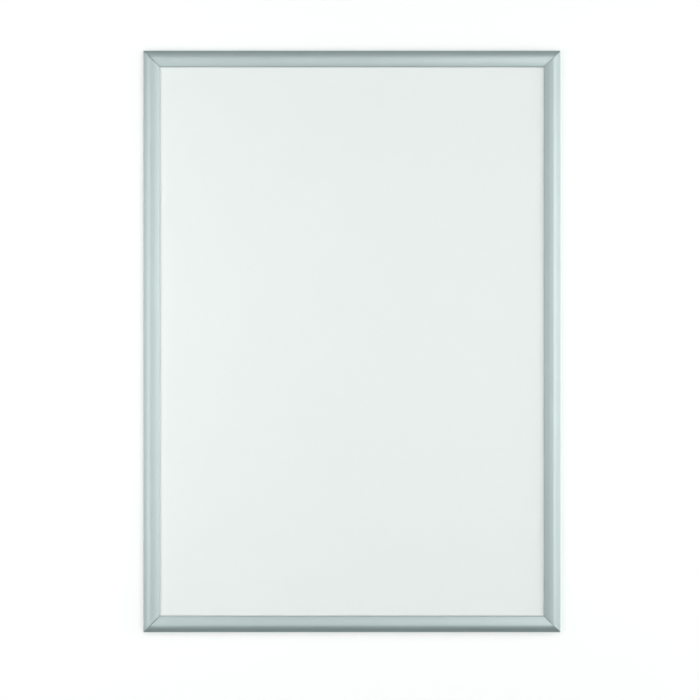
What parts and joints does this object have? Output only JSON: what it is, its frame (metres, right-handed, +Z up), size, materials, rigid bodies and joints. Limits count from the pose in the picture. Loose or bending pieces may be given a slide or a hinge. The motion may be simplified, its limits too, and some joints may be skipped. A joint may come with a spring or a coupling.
{
  "type": "poster frame",
  "caption": "Wall-mounted snap frame for an A1 sheet: mitred aluminium rails with hinged, sprung snap covers over a backing panel, a blank sheet and a clear cover sheet.",
  "frame": {"origin": "centre of the frame on its back plane, where it meets the wall, which is the centre of the rectangle of wall holes", "axes": "+Z up along the long side, +X to the right seen from the front, -Y out of the front and +Y into the wall"},
  "size_m": [0.626, 0.012, 0.873],
  "materials": {
    "anodised_aluminium": "satin anodised, fine lengthwise die lines",
    "spring_steel": "bright rolled strip",
    "zinc_plated_steel": "bright zinc plate",
    "white_panel": "smooth matt foamed board",
    "white_paper": "blank matt paper",
    "clear_sheet": "anti-glare clear sheet"
  },
  "bodies": {
    "frame": {"base_rail_top": "anodised_aluminium", "base_rail_bottom": "anodised_aluminium", "base_rail_left": "anodised_aluminium", "base_rail_right": "anodised_aluminium", "corner_key_top_left": "zinc_plated_steel", "corner_key_top_right": "zinc_plated_steel", "corner_key_bottom_left": "zinc_plated_steel", "corner_key_bottom_right": "zinc_plated_steel", "key_screws": "zinc_plated_steel", "back_panel": "white_panel", "poster_sheet": "white_paper", "cover_sheet": "clear_sheet"},
    "cover_top": {"snap_cover_top": "anodised_aluminium"},
    "springs_top": {"spring_top_1": "spring_steel", "spring_top_2": "spring_steel"},
    "cover_bottom": {"snap_cover_bottom": "anodised_aluminium"},
    "springs_bottom": {"spring_bottom_1": "spring_steel", "spring_bottom_2": "spring_steel"},
    "cover_left": {"snap_cover_left": "anodised_aluminium"},
    "springs_left": {"spring_left_1": "spring_steel", "spring_left_2": "spring_steel", "spring_left_3": "spring_steel"},
    "cover_right": {"snap_cover_right": "anodised_aluminium"},
    "springs_right": {"spring_right_1": "spring_steel", "spring_right_2": "spring_steel", "spring_right_3": "spring_steel"}
  },
  "joints": [
    {"name": "cover_top_hinge", "type": "hinge", "parent": "frame", "child": "cover_top", "pos_m": [0, -0.00659, 0.43445], "axis": [-1, 0, 0], "range_deg": [0, 90], "deforming": ["spring_top_1", "spring_top_2"]},
    {"name": "springs_top_rock", "type": "hinge", "parent": "frame", "child": "springs_top", "pos_m": [0, -0.00574, 0.4228], "axis": [-1, 0, 0], "range_deg": [-34, 0]},
    {"name": "cover_bottom_hinge", "type": "hinge", "parent": "frame", "child": "cover_bottom", "pos_m": [0, -0.00659, -0.43445], "axis": [1, 0, 0], "range_deg": [0, 90], "deforming": ["spring_bottom_1", "spring_bottom_2"]},
    {"name": "springs_bottom_rock", "type": "hinge", "parent": "frame", "child": "springs_bottom", "pos_m": [0, -0.00574, -0.4228], "axis": [1, 0, 0], "range_deg": [-34, 0]},
    {"name": "cover_left_hinge", "type": "hinge", "parent": "frame", "child": "cover_left", "pos_m": [-0.31095, -0.00659, 0], "axis": [0, 0, -1], "range_deg": [0, 90], "deforming": ["spring_left_1", "spring_left_2", "spring_left_3"]},
    {"name": "springs_left_rock", "type": "hinge", "parent": "frame", "child": "springs_left", "pos_m": [-0.2993, -0.00574, 0], "axis": [0, 0, -1], "range_deg": [-34, 0]},
    {"name": "cover_right_hinge", "type": "hinge", "parent": "frame", "child": "cover_right", "pos_m": [0.31095, -0.00659, 0], "axis": [0, 0, 1], "range_deg": [0, 90], "deforming": ["spring_right_1", "spring_right_2", "spring_right_3"]},
    {"name": "springs_right_rock", "type": "hinge", "parent": "frame", "child": "springs_right", "pos_m": [0.2993, -0.00574, 0], "axis": [0, 0, 1], "range_deg": [-34, 0]}
  ],
  "couplings": [
    {"joint": "springs_top_rock", "follows": "cover_top_hinge", "ratio": -0.3692},
    {"joint": "springs_bottom_rock", "follows": "cover_bottom_hinge", "ratio": -0.3692},
    {"joint": "springs_left_rock", "follows": "cover_left_hinge", "ratio": -0.3692},
    {"joint": "springs_right_rock", "follows": "cover_right_hinge", "ratio": -0.3692}
  ]
}
